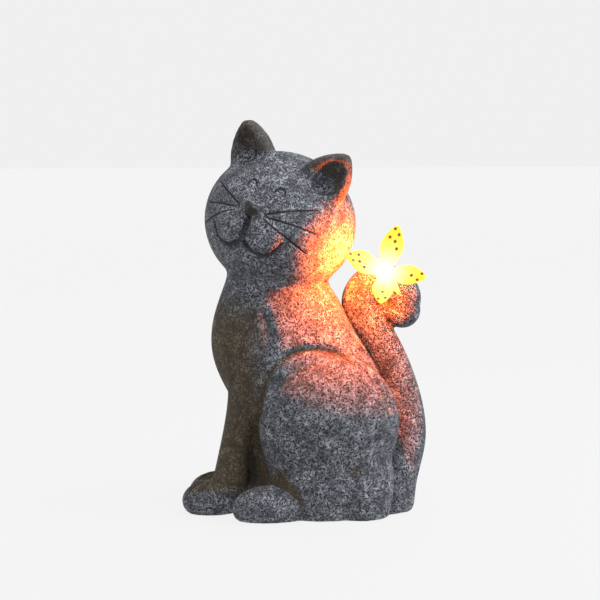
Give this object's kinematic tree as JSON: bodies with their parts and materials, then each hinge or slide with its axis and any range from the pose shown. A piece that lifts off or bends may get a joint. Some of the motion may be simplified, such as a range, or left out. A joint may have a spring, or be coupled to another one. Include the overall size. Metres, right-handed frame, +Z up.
{
  "type": "solar lamp cat figurine",
  "caption": "Seated cat garden figurine with a hollow stone-look body, a raised curled tail and a lit butterfly on it, with a solar panel, battery and switch inside.",
  "frame": {"origin": "centre of the footprint, on the plane the figurine stands on", "axes": "+Z up; the cat's chest points along -Y; +X is the cat's left side, towards which its head is turned"},
  "size_m": [0.1127, 0.1625, 0.2575],
  "materials": {
    "stone_grey_casting": "matt, scratched relief, dark recesses and dry-brushed pale ridges",
    "base_plastic": "fine matt moulding",
    "screw_steel": "zinc plated",
    "seal_rubber": "matt",
    "cell_wrap": "printed sleeve, no words",
    "contact_metal": "nickel plated",
    "board_laminate": "green solder mask",
    "chip_black": "moulded",
    "ferrite": "matt",
    "capacitor_sleeve": "shrink sleeve",
    "switch_body": "moulded",
    "button_plastic": "semi-gloss",
    "silicone": "translucent grey",
    "panel_frame": "fine matt moulding",
    "solar_silicon": "dark blue with fine silver lines",
    "panel_laminate": "white back sheet",
    "clear_cover": "clear",
    "lead_red": "insulated wire",
    "lead_black": "insulated wire",
    "led_epoxy": "clear warm-white lamp, lit",
    "led_metal": "tinned",
    "butterfly_resin": "translucent yellow with dark red spots, lit from inside"
  },
  "bodies": {
    "figurine": {"base_plate": "base_plastic", "base_plate_screws": "screw_steel", "base_seal": "seal_rubber", "battery_cell": "cell_wrap", "battery_leads": "lead_black", "battery_negative_spring": "contact_metal", "battery_positive_contact": "contact_metal", "butterfly_body": "butterfly_resin", "butterfly_wings": "butterfly_resin", "button_boot": "silicone", "capacitor": "capacitor_sleeve", "cat_casting": "stone_grey_casting", "charge_controller_chip": "chip_black", "circuit_board": "board_laminate", "circuit_board_screws": "screw_steel", "inductor": "ferrite", "led_holder": "silicone", "led_lamp": "led_epoxy", "led_leads": "lead_red", "led_pins": "led_metal", "panel_leads": "lead_red", "solar_cell": "solar_silicon", "solar_cell_board": "panel_laminate", "solar_panel_bezel": "panel_frame", "solar_panel_cover": "clear_cover", "solar_panel_sealant": "silicone", "switch_housing": "switch_body", "tail_casting": "stone_grey_casting"},
    "battery_door": {"battery_door": "base_plastic", "battery_door_screws": "screw_steel", "battery_door_seal": "seal_rubber"},
    "power_button": {"power_button": "button_plastic", "switch_plunger": "switch_body"}
  },
  "joints": [
    {"name": "button_press", "type": "slide", "parent": "figurine", "child": "power_button", "axis": [0, 0, 1], "range_m": [0, 0.0015], "stiffness_N_per_m": 800},
    {"name": "door_lift_off", "type": "slide", "parent": "figurine", "child": "battery_door", "axis": [0, 0, -1], "range_m": [0, 0.03]}
  ]
}
